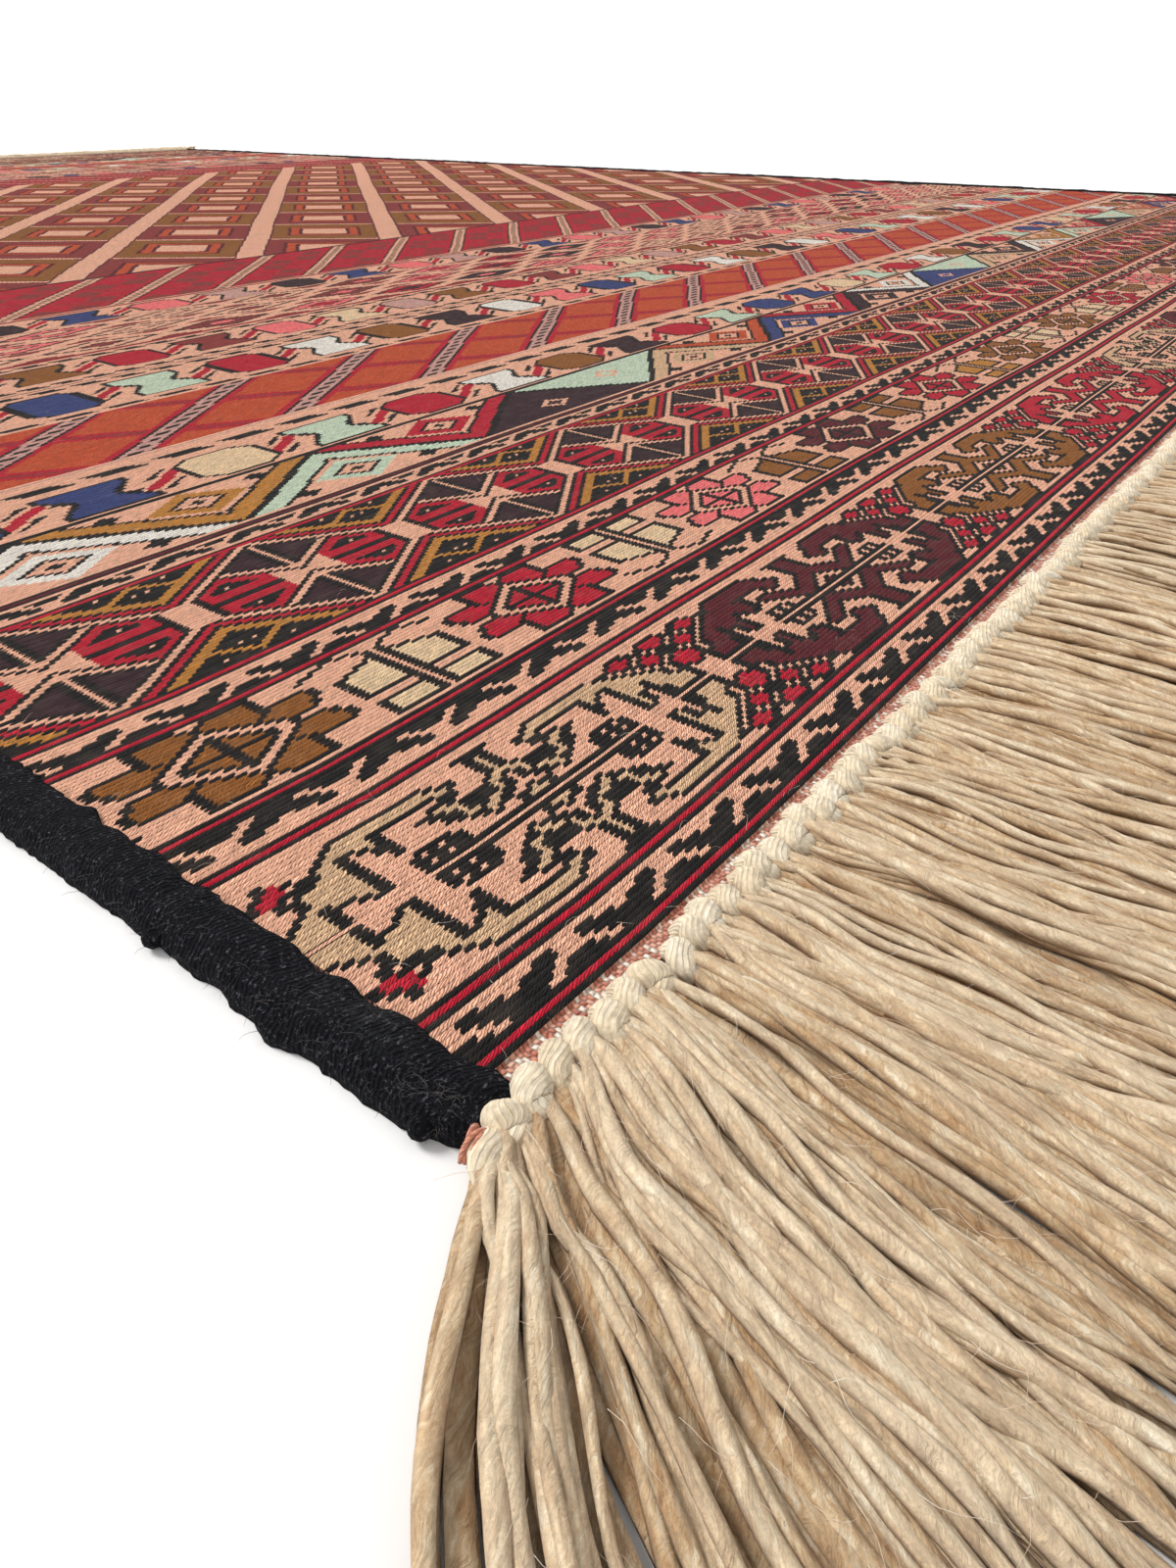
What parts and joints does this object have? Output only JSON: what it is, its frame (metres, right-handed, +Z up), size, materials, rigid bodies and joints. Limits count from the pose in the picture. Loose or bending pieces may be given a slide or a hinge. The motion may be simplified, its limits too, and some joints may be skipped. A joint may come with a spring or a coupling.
{
  "type": "kilim rug",
  "caption": "Flat-woven patterned wool rug with wrapped side edges and a knotted fringe along both ends, lying flat.",
  "frame": {"origin": "on the floor under the middle of the rug, at the centre of its bounding box's underside", "axes": "+Z up out of the patterned face, +Y along the rug's length, +X across its width to the right"},
  "size_m": [2.1396, 3.2555, 0.0097],
  "materials": {
    "woven_ground": "matt wool weft-wrapped weave in peach, red, black, maroon, ochre and cream bands",
    "side_binding": "matt navy-black wool wrapping, slightly hairy",
    "fringe_yarn": "undyed cream and tan plied wool, soft and slightly hairy"
  },
  "bodies": {
    "root": {"woven_ground": "woven_ground", "side_binding_left": "side_binding", "side_binding_right": "side_binding", "fringe_comb_near": "fringe_yarn", "fringe_comb_far": "fringe_yarn"}
  },
  "joints": []
}
